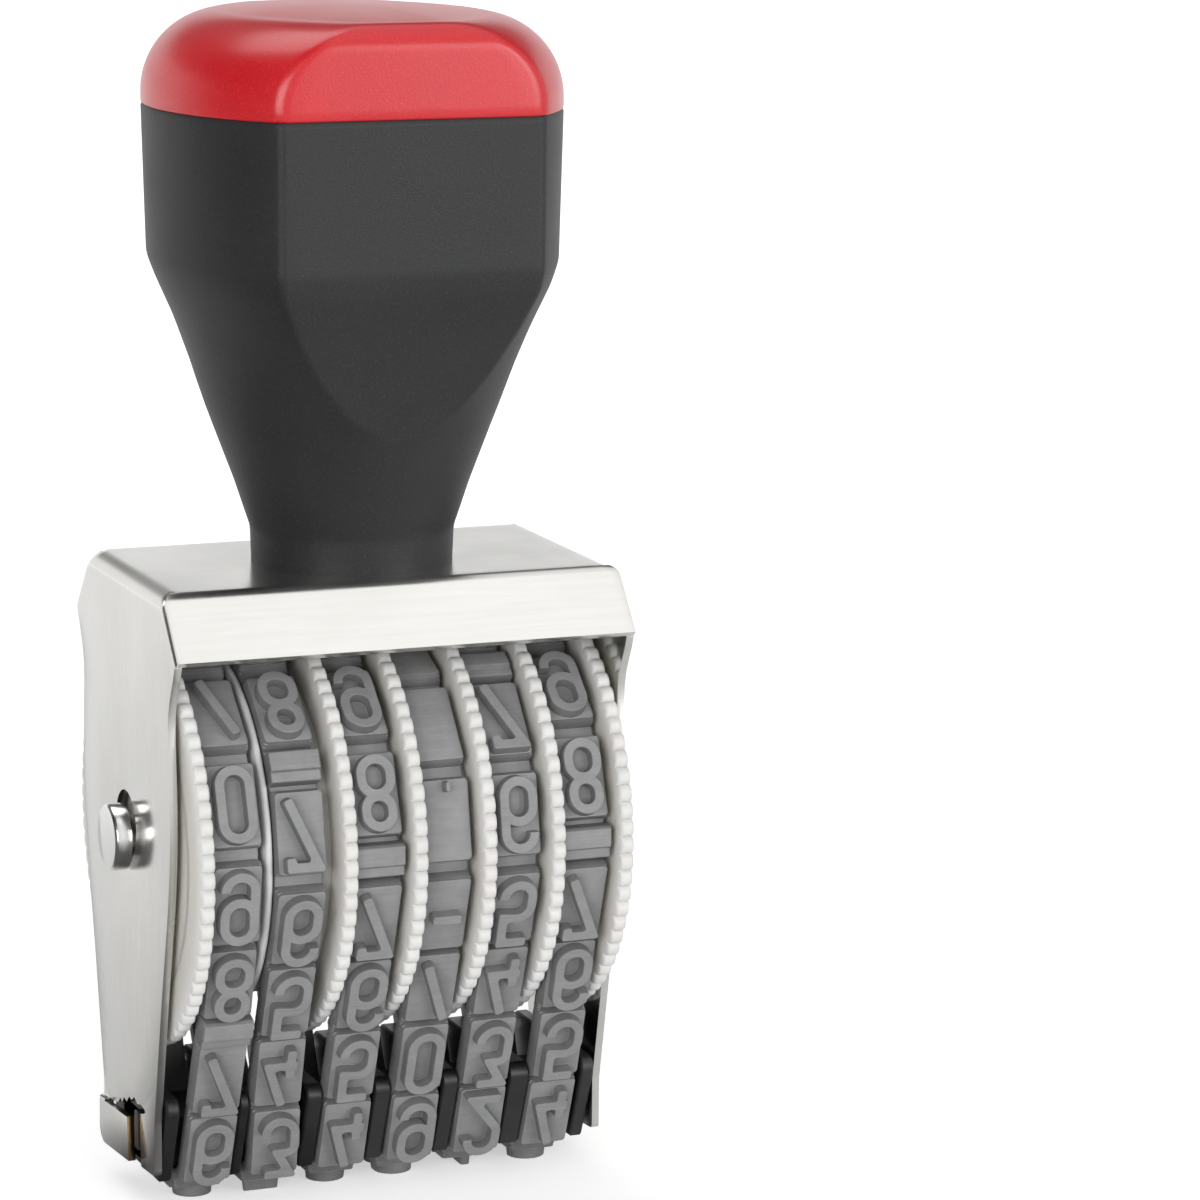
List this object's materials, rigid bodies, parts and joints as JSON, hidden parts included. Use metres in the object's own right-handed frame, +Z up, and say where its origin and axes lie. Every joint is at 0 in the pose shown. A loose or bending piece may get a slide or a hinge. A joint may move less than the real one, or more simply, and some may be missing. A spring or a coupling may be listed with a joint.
{
  "type": "numbering stamp",
  "caption": "Hand numbering stamp with endless rubber number bands on toothed setting wheels, held in a folded steel frame under a moulded handle.",
  "frame": {"origin": "middle of the printing plane, under the axle, halfway between the cheeks' outer limits", "axes": "+X along the axle to the stamp's right as it is pictured, +Y to the rear, +Z up through the handle"},
  "size_m": [0.0608, 0.0498, 0.1404],
  "materials": {
    "plated_sheet": "satin nickel plate",
    "polished_steel": "polished",
    "wheel_plastic": "satin moulded",
    "disc_plastic": "satin moulded",
    "band_rubber": "matt vulcanised",
    "bridge_plastic": "satin moulded",
    "grip_plastic": "fine spark-eroded grain",
    "cap_plastic": "satin",
    "zinc_steel": "zinc plate",
    "insert_brass": "turned"
  },
  "bodies": {
    "stamp_body": {"frame": "plated_sheet", "axle": "polished_steel", "band_1": "band_rubber", "band_2": "band_rubber", "band_3": "band_rubber", "band_4": "band_rubber", "band_5": "band_rubber", "band_6": "band_rubber", "bridge": "bridge_plastic", "handle_body": "grip_plastic", "handle_cap": "cap_plastic", "handle_screw": "zinc_steel", "screw_washer": "zinc_steel", "handle_insert": "insert_brass"},
    "wheel_1": {"setting_wheel_1": "wheel_plastic"},
    "wheel_2": {"setting_wheel_2": "wheel_plastic"},
    "wheel_3": {"setting_wheel_3": "wheel_plastic"},
    "wheel_4": {"setting_wheel_4": "wheel_plastic"},
    "wheel_5": {"setting_wheel_5": "wheel_plastic"},
    "wheel_6": {"setting_wheel_6": "wheel_plastic"},
    "separator": {"separator_disc": "disc_plastic"}
  },
  "joints": [
    {"name": "wheel_1_turn", "type": "hinge", "parent": "stamp_body", "child": "wheel_1", "pos_m": [-0.0223, 0, 0.04365], "axis": [1, 0, 0], "continuous": true},
    {"name": "wheel_2_turn", "type": "hinge", "parent": "stamp_body", "child": "wheel_2", "pos_m": [-0.0117, 0, 0.04365], "axis": [1, 0, 0], "continuous": true},
    {"name": "wheel_3_turn", "type": "hinge", "parent": "stamp_body", "child": "wheel_3", "pos_m": [-0.0032, 0, 0.04365], "axis": [1, 0, 0], "continuous": true},
    {"name": "wheel_4_turn", "type": "hinge", "parent": "stamp_body", "child": "wheel_4", "pos_m": [0.0053, 0, 0.04365], "axis": [1, 0, 0], "continuous": true},
    {"name": "wheel_5_turn", "type": "hinge", "parent": "stamp_body", "child": "wheel_5", "pos_m": [0.0138, 0, 0.04365], "axis": [1, 0, 0], "continuous": true},
    {"name": "wheel_6_turn", "type": "hinge", "parent": "stamp_body", "child": "wheel_6", "pos_m": [0.0223, 0, 0.04365], "axis": [1, 0, 0], "continuous": true},
    {"name": "separator_turn", "type": "hinge", "parent": "stamp_body", "child": "separator", "pos_m": [-0.017, 0, 0.04365], "axis": [1, 0, 0], "continuous": true}
  ]
}
